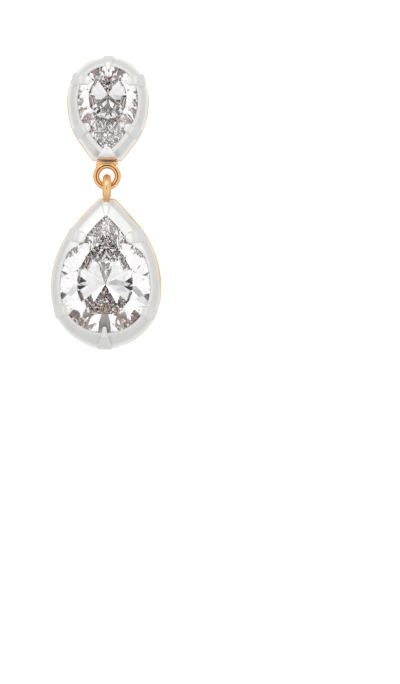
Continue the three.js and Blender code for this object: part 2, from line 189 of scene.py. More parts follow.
@dataclass(frozen=True)
class ClawForm:
    """What all claws share. Lengths are in mm, shares are of the length that each line names.

    Args:
        outer: Places of the first sections, from the outer end.
        band: Places of the sections up to the stone, as shares of the way there.
        over: Places of the sections over the stone, as shares of the way to the rounding.
        tip: Places of the last sections, as shares of the rounding from the end.
        round_width: Length of the tip's rounding, as a share of its width.
        round_most: Longest rounding, as a share of the reach.
        open_from: Width of the outer end, as a share of the full one.
        open_run: Length over which it opens to the full width.
        climb_lead: Head start of the climb to the rim.
        climb_share: Share of the band's width over which it climbs.
        stand: Height over the wall and least height of a section.
        clear: Height of the underside over the girdle.
        swell_from: Share of the band at which the claw starts to stand higher.
        swell_reach: Share of the reach over which it goes on.
        arch_width: Height of the round top, as a share of half the width.
        arch_most: Its greatest height, as a share of the section's.
        arch_power: Power that makes the top broader than a half circle.
        sides: Sides of the round top.
    """

    outer: tuple[float, ...] = (0.0, 0.015, 0.05, 0.12, 0.22, 0.3)
    band: tuple[float, ...] = (0.2, 0.35, 0.5, 0.65, 0.8, 1.0)
    over: tuple[float, ...] = (0.35, 0.7, 1.0)
    tip: tuple[float, ...] = (0.75, 0.5, 0.3, 0.15, 0.05, 0.0)
    round_width: float = 0.55
    round_most: float = 0.6
    open_from: float = 0.5
    open_run: float = 0.3
    climb_lead: float = 0.07
    climb_share: float = 0.95
    stand: float = 0.12
    clear: float = 0.16
    swell_from: float = 0.45
    swell_reach: float = 0.3
    arch_width: float = 0.75
    arch_most: float = 0.9
    arch_power: float = 0.7
    sides: int = 15


@dataclass(frozen=True)
class Setting:
    """Sizes of one pear setting in mm, in its own frame: across, towards the point, off the back.

    Args:
        stone: The stone's outline.
        outline: The silver's outline.
        culet: Height of the culet's place along the pear.
        pavilion: Depth of the stone under its girdle.
        girdle: Girdle thickness.
        crown: Height of the stone over its girdle.
        claws: The claws, from the head's end to the point.
        turned: Whether the point is down.
        lift: Height of the widest line in the earring's frame.
        back: The back plane's place along Y in the earring's frame.
        tip_lap: How far the silver laps over the stone near its point.
        plate_shift: How far the gold plate lies off the middle, across and towards the point.
        plate: Thickness of the gold plate.
        gap: Gap between gold and silver, and between silver and stone.
        culet_clear: Height of the culet over the plate.
        edge_height: Height of the wall's upright edge.
        rim_height: Height of the rim over the girdle.
        rim_wall: Width of the rim outside the stone.
        rim_fall: Depth under the rim's top at which the hollow slope meets it.
        lap: How far the rim laps over the stone.
        ledge: Width of the ledge under the stone.
        foot: Thickness of the wall at its foot.
        scallop: Depth of the wall's waves between the claws.
        hollow: Power of the slope's hollow curve.
        cap_start: Place on the outline where the silver starts to cap the point.
        cap_run: Length of outline over which the cap grows.
    """

    stone: Pear
    outline: Pear
    culet: float
    pavilion: float
    girdle: float
    crown: float
    claws: tuple[Claw, ...]
    turned: bool
    lift: float
    back: float
    tip_lap: float
    plate_shift: Point
    plate: float = 0.6
    gap: float = 0.05
    culet_clear: float = 0.2
    edge_height: float = 0.32
    rim_height: float = 0.26
    rim_wall: float = 0.15
    rim_fall: float = 0.2
    lap: float = 0.14
    ledge: float = 0.42
    foot: float = 0.65
    scallop: float = 0.13
    hollow: float = 2.4
    cap_start: float = 1.4
    cap_run: float = 0.3

    @property
    def bottom(self) -> float:
        """Foot of the silver."""
        return self.plate + self.gap

    @property
    def girdle_low(self) -> float:
        """Lower edge of the girdle."""
        return self.plate + self.culet_clear + self.pavilion

    @property
    def girdle_top(self) -> float:
        """Upper edge of the girdle."""
        return self.girdle_low + self.girdle

    @property
    def rim(self) -> float:
        """Top of the silver rim."""
        return self.girdle_top + self.rim_height

    def row(self, x: float, y: float, z: float) -> Vector:
        """Takes a point of the setting's frame in mm to the earring's frame in metres."""
        if self.turned:
            return Vector((-x, -z + self.back, self.lift - y)) * MM
        return Vector((x, -z + self.back, self.lift + y)) * MM

    def ring(self, points: Sequence[Point], height: float) -> list[Vector]:
        """Sets the points of an outline at a height, in the earring's frame."""
        return [self.row(x, y, height) for x, y in points]

    def placement(self) -> Matrix:
        """The matrix that row() applies.

        Returns:
            The matrix from the setting's frame in mm to the earring's in metres.
        """
        origin = self.row(0, 0, 0)
        columns = [(self.row(*axis) - origin) for axis in ((1, 0, 0), (0, 1, 0), (0, 0, 1))]
        return Matrix.Translation(origin) @ Matrix(columns).transposed().to_4x4()

    def capped(self, steps: int) -> list[float]:
        """How far the silver caps the stone at each station.

        Args:
            steps: Steps on each side, as in stations().

        Returns:
            Shares from 0, no cap, to 1, the full cap near the point.
        """
        half = []
        for i in range(steps + 1):
            share = clamp((2 * i / steps - self.cap_start) / self.cap_run)
            half.append(share * share * (3 - 2 * share))
        return half + [1.0] + half[:0:-1]

    @property
    def cap_slope(self) -> float:
        """Slope of the crown across the flank near the point."""
        lean = math.atan(self.stone.half_width / (0.5 * self.stone.tail))
        return self.crown / ((1 - TABLE_SHARE) * (self.stone.tail * math.sin(lean)))

    def stations(self, pear: Pear, steps: int, drawn: float = 0.0) -> list[Point]:
        """Points all round an outline, from the head's end to the point and back.

        Args:
            pear: The outline.
            steps: Steps on each side.
            drawn: Share of the scallop by which it is drawn in between the claws.

        Returns:
            Points across and up, in mm.
        """
        marks = [c.along for c in self.claws]
        share = self.outline.cut_share
        half: list[Point] = []
        for i in range(steps + 1):
            along = 2 * i / steps
            p = pear.at(along, share)
            for low, high in zip(marks, marks[1:]):
                if low < along < high:
                    pull = drawn * math.sin(math.pi * (along - low) / (high - low)) ** 2
                    p *= 1 - self.scallop * pull / p.length
            half.append((p.x, p.y))
        tip = (0.0, pear.cut if pear.cut is not None else pear.tail)
        left = [(-x, y) for x, y in reversed(half[1:])]
        return half + [tip] + left

    def cove(self, share: float) -> float:
        """Height share of the silver slope at a share of the band's width."""
        return clamp(share) ** self.hollow


def new_piece(name: str, bm: bmesh.types.BMesh, body: Body, nodes: Sequence[str]) -> Any:
    """Turns a bmesh to a piece that rides on a body and stands for CAD nodes.

    Args:
        name: Name of the piece.
        bm: Its mesh, in metres in the earring's frame. It is freed.
        body: The body it rides on.
        nodes: CAD nodes it replaces.

    Returns:
        The object.
    """
    mesh = bpy.data.meshes.new(name)
    bm.to_mesh(mesh)
    bm.free()
    piece = bpy.data.objects.new(name, mesh)
    bpy.context.scene.collection.objects.link(piece)
    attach(piece, body.value)
    if nodes:
        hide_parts(*nodes)
    LOG.info("piece %s: %d faces", name, len(mesh.polygons))
    return piece


def join(bm: bmesh.types.BMesh, part: bmesh.types.BMesh) -> None:
    """Adds a mesh to another one.

    Args:
        bm: The mesh that grows.
        part: The mesh that it takes in. It is freed.
    """
    mesh = bpy.data.meshes.new("part")
    part.to_mesh(mesh)
    part.free()
    bm.from_mesh(mesh)
    bpy.data.meshes.remove(mesh)


def smooth(bm: bmesh.types.BMesh, sharp: float) -> None:
    """Shades faces smooth and marks edges over an angle as sharp.

    Args:
        bm: The mesh.
        sharp: Angle in degrees.
    """
    limit = math.radians(sharp)
    for face in bm.faces:
        face.smooth = True
    for edge in bm.edges:
        edge.smooth = len(edge.link_faces) == 2 and edge.calc_face_angle(0) < limit


def loft(bm: bmesh.types.BMesh, rings: Sequence[Sequence[Vector]], wraps: bool) -> None:
    """Draws a skin from ring to ring: a circle set on the first one, extruded to each of the others.

    Args:
        bm: The mesh.
        rings: Rings of points with equal counts.
        wraps: Whether the last ring joins the first. Both ends are closed otherwise.
    """
    front = bmesh.ops.create_circle(bm, segments=len(rings[0]), radius=1.0)["verts"]
    edges = list({e for v in front for e in v.link_edges})
    ends = [edges]
    for vert, place in zip(front, rings[0]):
        vert.co = place
    for ring in [*rings[1:], rings[0]] if wraps else rings[1:]:
        made = bmesh.ops.extrude_edge_only(bm, edges=edges)["geom"]
        fresh = {v for v in made if isinstance(v, bmesh.types.BMVert)}
        front = [
            next(e.other_vert(v) for e in v.link_edges if e.other_vert(v) in fresh) for v in front
        ]
        for vert, place in zip(front, ring):
            vert.co = place
        edges = [e for e in made if isinstance(e, bmesh.types.BMEdge)]
        edges = [e for e in edges if fresh.issuperset(e.verts)]
    if wraps:
        bmesh.ops.remove_doubles(bm, verts=bm.verts, dist=1e-9)
    else:
        ends.append(edges)
        for end in ends:
            bmesh.ops.contextual_create(bm, geom=end)
    bmesh.ops.recalc_face_normals(bm, faces=bm.faces)


@dataclass
class Collet:
    """The silver of one setting: its wall and its claws. Lengths are in mm.

    Args:
        name: Name of its CAD node.
        setting: Sizes of the setting.
        body: The body that it rides on.
        steps: Steps along each side of the wall.
        cove_steps: Steps up the hollow slope.
        cove_crowd: Power that crowds these steps towards the rim.
        corner: Bevel of the upright edge.
        laps: Rows over the rim's lip: how far beyond the lap, and how high over the rim.
        seat_over: Height of the seat's wall over the girdle.
        seat_under: Its depth under the girdle.
        ledge_under: Depth of the ledge under a slope of 45 degrees.
        lining_under: Depth under the girdle at which the gold lining starts.
        form: What the claws share.
    """

    name: str
    setting: Setting
    body: Body
    steps: int = 64
    cove_steps: int = 14
    cove_crowd: float = 0.6
    corner: float = 0.05
    laps: tuple[Point, ...] = ((-0.06, 0.0), (-0.02, 0.0), (0.0, -0.03), (-0.02, -0.08))
    seat_over: float = 0.07
    seat_under: float = 0.03
    ledge_under: float = 0.04
    lining_under: float = 0.02
    form: ClawForm = ClawForm()

    def wall(self) -> Any:
        """Builds the wall: an upright edge, a hollow slope, the rim and the seat under the stone.

        Returns:
            The piece. Its chamber's faces take the second material.
        """
        s = self.setting
        outer = s.stations(s.outline, self.steps, drawn=1.0)
        crest = s.stations(s.stone.inset(-s.rim_wall), self.steps)
        corner = s.stations(s.outline.inset(self.corner), self.steps, drawn=1.0)
        edge = s.bottom + s.edge_height
        rings = [s.ring(outer, s.bottom), s.ring(outer, edge - self.corner)]
        for k in range(1, self.cove_steps + 1):
            across = (k / self.cove_steps) ** self.cove_crowd
            points = [
                (mix(a[0], b[0], across), mix(a[1], b[1], across)) for a, b in zip(corner, crest)
            ]
            rings.append(s.ring(points, mix(edge, s.rim - s.rim_fall, s.cove(across))))
        capped = s.capped(self.steps)
        rise = (s.tip_lap - s.lap) * s.cap_slope
        for inset, height in self.laps:
            rim = s.stations(s.stone.inset(s.lap + inset), self.steps)
            cap = s.stations(s.stone.inset(s.tip_lap + inset), self.steps)
            rings.append(
                [
                    s.row(mix(a[0], b[0], c), mix(a[1], b[1], c), s.rim + height + rise * c)
                    for a, b, c in zip(rim, cap, capped)
                ]
            )
        seats = (
            (-s.gap, s.girdle_top + self.seat_over),
            (-s.gap, s.girdle_low - self.seat_under),
            (s.ledge, s.girdle_low - s.ledge - self.ledge_under),
        )
        for inset, height in seats:
            rings.append(s.ring(s.stations(s.stone.inset(inset), self.steps), height))
        rings.append(s.ring(s.stations(s.outline.inset(s.foot), self.steps), s.bottom))
        bm = bmesh.new()
        loft(bm, rings, wraps=True)
        smooth(bm, sharp=35)
        for face in bm.faces:
            centre = face.calc_center_median()
            height = s.back - centre.y / MM
            inward = face.normal.dot(Vector((0, centre.y, s.lift * MM)) - centre) > 0
            if inward and s.bottom < height < s.girdle_low - self.lining_under:
                face.material_index = 1
        return new_piece(self.name + "_wall", bm, self.body, [self.name])

    def claw_rings(self, claw: Claw, side: int) -> list[list[Vector]]:
        """Sections of one claw, from outside the outline to its tip over the stone.

        Args:
            claw: Its sizes.
            side: 1 or -1, the side of the setting.

        Returns:
            Rings of points in the earring's frame.
        """
        s, form = self.setting, self.form
        share = s.outline.cut_share
        if claw.along < 2:
            base, inner = s.outline.at(claw.along, share), s.stone.at(claw.along, share)
        else:
            base, inner = Vector((0, s.outline.cut)), Vector((0, s.stone.tail))
        turn = math.radians(claw.turn)
        inward = Vector((-math.cos(turn) * side, math.sin(turn)))
        across = Vector((-inward.y, inward.x))
        start = Vector((base.x * side, base.y))
        band = (base - inner).length
        length = band + claw.reach
        crown_slope = s.crown / ((1 - TABLE_SHARE) * inner.length)
        edge = s.bottom + s.edge_height
        tip_round = min(form.round_width * claw.tip, form.round_most * claw.reach)
        runs = [claw.start + f for f in form.outer]
        runs += [mix(runs[-1], band, f) for f in form.band]
        runs += [band + (claw.reach - tip_round) * f for f in form.over]
        runs += [length - tip_round * f for f in form.tip]
        swell_run = (1 - form.swell_from) * band + form.swell_reach * claw.reach
        rings = []
        for run in runs:
            along = clamp(run / length)
            from_tip = length - run
            closing = 1.0
            if from_tip < tip_round:
                closing = math.sqrt(max(0.02, 1 - (1 - from_tip / tip_round) ** 2))
            outer = clamp((run - claw.start + 0.01) / form.open_run)
            opening = mix(form.open_from, 1.0, math.sqrt(1 - (1 - outer) ** 2))
            half = 0.5 * mix(claw.tip, claw.base, (1 - along) ** claw.flare) * closing * opening
            if run < band:
                climb = clamp(max((run + form.climb_lead) / (form.climb_share * band), 0.02))
                ground = mix(edge, s.rim, math.sin(climb * math.pi / 2))
                low = s.bottom
            else:
                ground = s.rim + (run - band) * crown_slope
                low = s.girdle_top + form.clear + (run - band) * crown_slope
            swell = clamp((run - form.swell_from * band) / swell_run)
            top = ground + form.stand * opening + claw.rise * swell * closing
            low = min(low, top - form.stand)
            arch = min(form.arch_width * half, form.arch_most * (top - low))
            ring = []
            for k in range(form.sides + 1):
                angle = math.pi * k / form.sides
                shift = math.cos(angle) * half
                height = top - arch * (1 - math.sin(angle) ** form.arch_power)
                ring.append((shift, height))
            ring.append((-half, low))
            ring.append((half, low))
            rings.append(
                [
                    s.row(
                        start.x + inward.x * run + across.x * shift,
                        start.y + inward.y * run + across.y * shift,
                        height,
                    )
                    for shift, height in ring
                ]
            )
        return rings

    def claws(self) -> Any:
        """Builds all claws.

        Returns:
            One piece for all of them.
        """
        bm = bmesh.new()
        for claw in self.setting.claws:
            for side in (1, -1) if claw.paired else (1,):
                one = bmesh.new()
                loft(one, self.claw_rings(claw, side), wraps=False)
                join(bm, one)
        smooth(bm, sharp=50)
        return new_piece(self.name + "_claws", bm, self.body, [self.name])


@dataclass
class Stone:
    """A brilliant-cut pear stone, made by cutting facets off a pear prism.

    Args:
        name: Name of its CAD node.
        setting: Sizes of the setting.
        body: The body that it rides on.
        steps: Steps along each side of the prism.
        star_tilt: Degrees that the star facets lean from the table.
        mains: Main facets: place on the girdle, and whether cut on both sides.
        halves: Places of the half facets beside the mains, cut on both sides.
        stars: Places of the star facets, cut on both sides.
        under: Facets under the girdle: place, share of the way to the culet, share of the depth.
        sides: More of these, for one stone only.
        half_in: How far the half facets reach in: share of the way to the table over the girdle,
            and share of the way to the culet under it.
        half_rise: Share of the crown's height and of the pavilion's depth that they reach there.
        spare: How far the uncut prism stands out beyond the stone, below and above, in mm.
    """

    name: str
    setting: Setting
    body: Body
    steps: int = 40
    star_tilt: float = 19.0
    mains: tuple[tuple[float, bool], ...] = (
        (0.0, False),
        (0.5, True),
        (1.0, True),
        (1.55, True),
        (2.0, False),
    )
    halves: tuple[float, ...] = (0.16, 0.34, 0.66, 0.84, 1.17, 1.38, 1.7, 1.88)
    stars: tuple[float, ...] = (0.25, 0.75, 1.27, 1.76)
    under: tuple[Triple, ...] = (
        (0.25, 1.0, 1.0),
        (0.75, 1.0, 1.0),
        (1.25, 1.0, 1.0),
        (1.42, 0.9, 0.91),
        (1.8, 0.85, 0.87),
        (1.95, 0.7, 0.73),
        (0.08, 0.5, 0.54),
        (0.42, 0.5, 0.54),
        (0.58, 0.5, 0.54),
        (0.92, 0.5, 0.54),
        (1.08, 0.5, 0.54),
        (1.32, 0.5, 0.54),
        (1.5, 0.45, 0.49),
        (1.62, 0.5, 0.54),
        (1.74, 0.42, 0.46),
        (1.84, 0.45, 0.49),
        (1.92, 0.4, 0.45),
    )
    sides: tuple[Triple, ...] = ()
    half_in: Point = (0.5, 0.78)
    half_rise: Point = (0.56, 0.8)
    spare: Point = (0.1, 0.2)

    def blank(self) -> bmesh.types.BMesh:
        """Makes the pear prism that the facets are cut from, a little deeper than the stone.

        Returns:
            Its mesh, in the setting's own frame in mm.
        """
        s = self.setting
        outline = s.stations(s.stone, self.steps)
        low = s.girdle_low - s.pavilion - self.spare[0]
        high = s.girdle_top + s.crown + self.spare[1]
        bm = bmesh.new()
        loft(bm, [[Vector((x, y, z)) for x, y in outline] for z in (low, high)], wraps=False)
        bmesh.ops.remove_doubles(bm, verts=bm.verts, dist=1e-4)
        return bm

    def slice(self, bm: bmesh.types.BMesh, at: Vector, normal: Vector) -> None:
        """Cuts one facet and closes the cut.

        Args:
            bm: The stone.
            at: A point of the facet's plane.
            normal: Its outward normal.
        """
        geom = list(bm.verts) + list(bm.edges) + list(bm.faces)
        cut = bmesh.ops.bisect_plane(
            bm, geom=geom, dist=1e-5, plane_co=at, plane_no=normal.normalized(), clear_outer=True
        )
        edges = [e for e in cut["geom_cut"] if isinstance(e, bmesh.types.BMEdge)]
        edges = [e for e in edges if len(e.link_faces) == 1]
        if edges:
            bmesh.ops.contextual_create(bm, geom=edges)

    def place(self, along: float, paired: bool) -> tuple[Vector, Vector]:
        """A place on the girdle.

        Args:
            along: Place on the outline, as in Pear.at.
            paired: Whether it has a twin. Without one the girdle runs straight across there.

        Returns:
            The point and the outline's direction there.
        """
        s = self.setting
        share = s.outline.cut_share
        at = s.stone.at(along, share) if along < 2 else Vector((0, s.stone.tail))
        if not paired:
            return at, Vector((-1 if along else 1, 0))
        run = s.stone.at(along + 0.01, share) - s.stone.at(max(along - 0.01, 0), share)
        return at, run.normalized()

    def facet(self, bm: bmesh.types.BMesh, along: float, paired: bool, height: float,
              inward: float, rise: float) -> None:
        """Cuts a facet that holds the girdle's direction and passes through a point further in.

        Args:
            bm: The stone.
            along: Place on the girdle.
            paired: Whether it is cut on both sides.
            height: Height of its girdle edge.
            inward: Share of the way to the culet's place.
            rise: Height of that point over the girdle edge.
        """
        at, run = self.place(along, paired)
        target = at.lerp(Vector((0, self.setting.culet)), inward)
        for side in (1, -1) if paired else (1,):
            a = Vector((at.x * side, at.y, height))
            b = Vector((target.x * side, target.y, height + rise))
            normal = Vector((run.x, run.y * side, 0)).cross(b - a)
            if normal.z * rise < 0:
                normal.negate()
            self.slice(bm, a, normal)

    def build(self) -> Any:
        """Cuts the table, crown and pavilion, and sets the stone in place.

        Returns:
            The piece.
        """
        s = self.setting
        bm = self.blank()
        table = s.girdle_top + s.crown
        self.slice(bm, Vector((0, 0, table)), Vector((0, 0, 1)))
        for along, paired in self.mains:
            self.facet(bm, along, paired, s.girdle_top, 1 - TABLE_SHARE, s.crown)
            # The widest line and the point have no main facet under the girdle.
            if along not in (1.0, 2.0):
                self.facet(bm, along, paired, s.girdle_low, 1, -s.pavilion)
        inward, under = self.half_in
        rise, fall = self.half_rise
        for along in self.halves:
            self.facet(bm, along, True, s.girdle_top, inward * (1 - TABLE_SHARE), rise * s.crown)
            self.facet(bm, along, True, s.girdle_low, under, -fall * s.pavilion)
        for along, inward, depth in self.under + self.sides:
            self.facet(bm, along, True, s.girdle_low, inward, -depth * s.pavilion)
        tilt = math.radians(self.star_tilt)
        for along in self.stars:
            at, run = self.place(along, True)
            edge = at.lerp(Vector((0, s.culet)), 1 - TABLE_SHARE)
            for side in (1, -1):
                normal = Vector((run.y * side * math.sin(tilt), -run.x * math.sin(tilt), math.cos(tilt)))
                self.slice(bm, Vector((edge.x * side, edge.y, table)), normal)
        bmesh.ops.remove_doubles(bm, verts=bm.verts, dist=1e-4)
        bmesh.ops.recalc_face_normals(bm, faces=bm.faces)
        bmesh.ops.transform(bm, matrix=s.placement(), verts=bm.verts)
        return new_piece(self.name + "_cut", bm, self.body, [self.name])


def rounded_block(bm: bmesh.types.BMesh, low: Vector, high: Vector, bevel: float) -> None:
    """Adds a block with rounded edges.

    Args:
        bm: The mesh.
        low: Its lowest corner.
        high: Its highest corner.
        bevel: Radius of its edges.
    """
    size = high - low
    matrix = Matrix.Translation((low + high) / 2) @ Matrix.Diagonal((*size, 1))
    made = bmesh.ops.create_cube(bm, size=1.0, matrix=matrix)
    edges = list({e for v in made["verts"] for e in v.link_edges})
    bmesh.ops.bevel(
        bm, geom=edges, offset=bevel, offset_type="OFFSET", affect="EDGES", segments=4,
        profile=0.5, material=-1,
    )


def wire_ring(bm: bmesh.types.BMesh, centre: Vector, axis: Vector, hole: float, wire: float,
              groove: float = 0.0) -> None:
    """Adds a ring of round wire by spinning the wire's section.

    Args:
        bm: The mesh.
        centre: Centre of the ring.
        axis: Axis of the ring.
        hole: Diameter of the hole.
        wire: Diameter of the wire.
        groove: Depth of a fine groove round the side that the axis points to.
    """
    out = axis.orthogonal().normalized()
    mean = (hole + wire) / 2
    turn = Matrix((out, axis, out.cross(axis))).transposed().to_4x4()
    place = Matrix.Translation(centre + out * mean) @ turn
    made = bmesh.ops.create_circle(bm, segments=32, radius=wire / 2, matrix=place)
    for vert in made["verts"]:
        if (vert.co - centre).dot(axis) > 0.495 * wire:
            vert.co -= axis * groove
    edges = list({e for v in made["verts"] for e in v.link_edges})
    bmesh.ops.spin(
        bm, geom=made["verts"] + edges, cent=centre, axis=axis, angle=math.tau, steps=96,
        use_merge=True, use_duplicate=False,
    )


@dataclass
class GoldBack:
    """A gold plate behind a collet, with the ring that joins it to the other piece.

    Args:
        name: Name of its CAD node.
        setting: Sizes of the setting.
        body: The body that it rides on.
        overhang: How far the plate stands out beyond the silver, in mm.
        bevel: Radius of its edges in mm.
        steps: Steps along each side.
        edge_steps: Steps round each of its edges.
        waves: Share of the silver's waves that the plate follows.
        lined_area: Area in mm2 over which a forward face belongs to the chamber's floor.
    """

    name: str
    setting: Setting
    body: Body
    overhang: float = 0.04
    bevel: float = 0.12
    steps: int = 64
    edge_steps: int = 4
    waves: float = 0.5
    lined_area: float = 20.0

    def plate(self, bm: bmesh.types.BMesh) -> None:
        """Adds the plate with its rounded edge, in the setting's frame in mm.

        Args:
            bm: The mesh.
        """
        s = self.setting
        outline = s.outline.inset(-self.overhang)
        quarter = [math.pi / 2 * k / self.edge_steps for k in range(self.edge_steps + 1)]
        edge = [(1 - math.sin(a), self.bevel * (1 - math.cos(a))) for a in quarter]
        edge += [(1 - math.cos(a), s.plate - self.bevel * (1 - math.sin(a))) for a in quarter]
        loops = []
        for inset, height in edge:
            points = s.stations(outline.inset(self.bevel * inset), self.steps, drawn=self.waves)
            loops.append(
                [Vector((x + s.plate_shift[0], y + s.plate_shift[1], height)) for x, y in points]
            )
        loft(bm, loops, wraps=False)

    def finish(self, bm: bmesh.types.BMesh) -> Any:
        """Sets the mesh in place and makes the piece.

        Args:
            bm: The mesh, in the setting's frame in mm.

        Returns:
            The piece. The chamber's floor takes the second material.
        """
        bmesh.ops.remove_doubles(bm, verts=bm.verts, dist=1e-4)
        bmesh.ops.recalc_face_normals(bm, faces=bm.faces)
        bmesh.ops.transform(bm, matrix=self.setting.placement(), verts=bm.verts)
        smooth(bm, sharp=40)
        least = self.lined_area * MM * MM
        wide = [f for f in bm.faces if f.calc_area() > least and f.normal.y < 0]
        for face in wide:
            face.material_index = 1
        return new_piece(self.name + "_dressed", bm, self.body, [self.name])


@dataclass
class StudBack(GoldBack):
    """The stud's gold back with its neck and round eye, in mm.

    Args:
        hole: Diameter of the eye's hole.
        wire: Diameter of its wire.
        groove: Depth of the fine groove round its front.
        below_tip: From the tip's cut to the eye's centre.
        forward: Height of the eye's centre off the back.
        neck_width: Width of the neck.
        neck_depth: Depth of the neck along the earring.
        neck_over: From the tip's cut to the neck.
        root: How far the neck's root reaches back over the plate.
        neck_end: Half width of the tab where it meets the eye, and how far before its centre.
        tab_depth: Half the tab's thickness, as a share of the wire's diameter.
        tab_bevel: Height of its bevel.
        tab_pull: Width of its outer faces, as a share of the full width.
        arc_steps: Steps of its round end.
    """

    hole: float = 1.46
    wire: float = 0.64
    groove: float = 0.12
    below_tip: float = 1.58
    forward: float = 1.3
    neck_width: float = 2.1
    neck_depth: float = 0.3
    neck_over: float = 0.16
    root: float = 0.3
    neck_end: Point = (1.17, 0.62)
    tab_depth: float = 0.4
    tab_bevel: float = 0.05
    tab_pull: float = 0.94
    arc_steps: int = 16

    def tab(self, bm: bmesh.types.BMesh, low: float, centre: float) -> None:
        """Adds the flat tab that widens from the neck into the eye's wire.

        Args:
            bm: The mesh.
            low: Height of the neck's upper edge.
            centre: Height of the eye's centre.
        """
        half, rise = self.neck_end
        mean = (self.hole + self.wire) / 2
        spread = math.acos(rise / mean)
        arc = [spread * (1 - 2 * k / self.arc_steps) for k in range(self.arc_steps + 1)]
        outline = [(-self.neck_width / 2, low), (self.neck_width / 2, low), (half, centre - rise)]
        outline += [(mean * math.sin(a), centre - mean * math.cos(a)) for a in arc]
        outline.append((-half, centre - rise))
        depth = self.tab_depth * self.wire
        inner = depth - self.tab_bevel
        levels = ((self.tab_pull, -depth), (1.0, -inner), (1.0, inner), (self.tab_pull, depth))
        loops = []
        for pull, height in levels:
            loops.append([Vector((x * pull, y, self.forward + height)) for x, y in outline])
        loft(bm, loops, wraps=False)

    def build(self) -> Any:
        """Builds the plate, the neck and the eye.

        Returns:
            One piece for all of them.
        """
        s = self.setting
        bm = bmesh.new()
        self.plate(bm)
        cut = s.outline.cut or 0.0
        low = cut + self.neck_over
        high = low + self.neck_depth
        half = self.neck_width / 2
        top = self.forward + self.wire / 2
        rounded_block(bm, Vector((-half, low, 0)), Vector((half, high, top)), bevel=0.1)
        rounded_block(
            bm, Vector((-half, cut - self.root, 0.01)), Vector((half, high, s.plate)), bevel=0.05
        )
        centre = Vector((0, cut + self.below_tip, self.forward))
        self.tab(bm, low, centre.y)
        wire_ring(bm, centre, Vector((0, 0, 1)), self.hole, self.wire, self.groove)
        return self.finish(bm)


@dataclass
class DropBack(GoldBack):
    """The drop's gold back with its lug and bail, in mm.

    Args:
        hole: Diameter of the bail's hole.
        wire: Diameter of its wire.
        sink: How far the bail sinks into the notch of the tip.
        forward: Height of its centre off the back.
        foot: Width of the lug and of the wire in the notch.
        shoulder: From the tip's cut to where the wire narrows.
        blend: Length over which it narrows.
        lug_over: Height of the lug over the bail's centre.
    """

    hole: float = 1.06
    wire: float = 0.86
    sink: float = 0.3
    forward: float = 2.45
    foot: float = 0.6
    shoulder: float = 0.16
    blend: float = 0.24
    lug_over: float = 0.3

    def build(self) -> Any:
        """Builds the plate, the lug and the bail.

        Returns:
            One piece for all of them.
        """
        s = self.setting
        bm = bmesh.new()
        self.plate(bm)
        cut = s.outline.cut or 0.0
        centre = Vector((0, cut - self.sink + self.hole / 2 + self.wire, self.forward))
        ring = bmesh.new()
        wire_ring(ring, centre, Vector((1, 0, 0)), self.hole, self.wire)
        bmesh.ops.remove_doubles(ring, verts=ring.verts, dist=1e-4)
        shoulder = cut + self.shoulder
        for vert in ring.verts:
            below = clamp((shoulder + self.blend / 2 - vert.co.y) / self.blend)
            limit = mix(self.wire / 2, self.foot / 2, below)
            vert.co.x = max(min(vert.co.x, limit), -limit)
        join(bm, ring)
        half = self.foot / 2
        high = centre.y - self.hole / 2 - self.wire / 2
        top = self.forward + self.lug_over
        rounded_block(
            bm, Vector((-half, cut - self.sink, 0.01)), Vector((half, high, top)), bevel=0.06
        )
        return self.finish(bm)


@dataclass
class EarPost:
    """The straight post behind the stud, with its pad and clutch groove, in mm.

    Args:
        name: Name of its CAD node.
        radius: Radius of the post.
        length: Its length with the pad.
        pad_radius: Radius of the pad.
        pad: Thickness of the pad.
        groove_in: From the post's end to the groove's middle.
    """

    name: str = "ear_post"
    radius: float = 0.4
    length: float = 10.0
    pad_radius: float = 1.2
    pad: float = 0.35
    groove_in: float = 1.6

    def build(self) -> Any:
        """Spins the post's profile about its axis.

        Returns:
            The piece.
        """
        r, groove = self.radius, self.length - self.groove_in
        # Radius and distance from the stud's back: the pad, a fillet, the groove and the round end.
        profile = [
            (0.0, 0.0), (self.pad_radius - 0.04, 0.0), (self.pad_radius, 0.04),
            (self.pad_radius, 0.6 * self.pad - 0.03), (self.pad_radius - 0.06, 0.6 * self.pad),
            (0.6, 0.28), (0.45, 0.33), (r, 0.42), (r, groove - 0.3), (r - 0.09, groove - 0.16),
            (r - 0.12, groove), (r - 0.09, groove + 0.16), (r, groove + 0.3),
            (r, self.length - 0.5 * r), (0.85 * r, self.length - 0.2 * r),
            (0.5 * r, self.length - 0.04), (0.0, self.length),
        ]
        bm = bmesh.new()
        verts = [bm.verts.new(Vector((x, y, 0)) * MM) for x, y in profile]
        edges = [bm.edges.new(pair) for pair in zip(verts, verts[1:])]
        bmesh.ops.spin(
            bm, geom=verts + edges, cent=(0, 0, 0), axis=(0, 1, 0), angle=math.tau, steps=48,
            use_merge=True, use_duplicate=False,
        )
        bmesh.ops.remove_doubles(bm, verts=bm.verts, dist=1e-7)
        bmesh.ops.recalc_face_normals(bm, faces=bm.faces)
        smooth(bm, sharp=35)
        return new_piece(self.name + "_dressed", bm, Body.STUD, [self.name])


def add_node(tree: Any, kind: str, settings: dict[str, Any], links: dict[Any, Any]) -> Any:
    """Adds a shader node with its settings and links.

    Args:
        tree: The node tree.
        kind: Blender's node type.
        settings: Attributes, or inputs where the name is no attribute.
        links: Input name or index to the output socket that feeds it.

    Returns:
        The node.
    """
    node = tree.nodes.new(kind)
    for key, value in settings.items():
        if isinstance(key, str) and hasattr(node, key):
            setattr(node, key, value)
        else:
            node.inputs[key].default_value = value
    for key, socket in links.items():
        tree.links.new(socket, node.inputs[key])
    return node


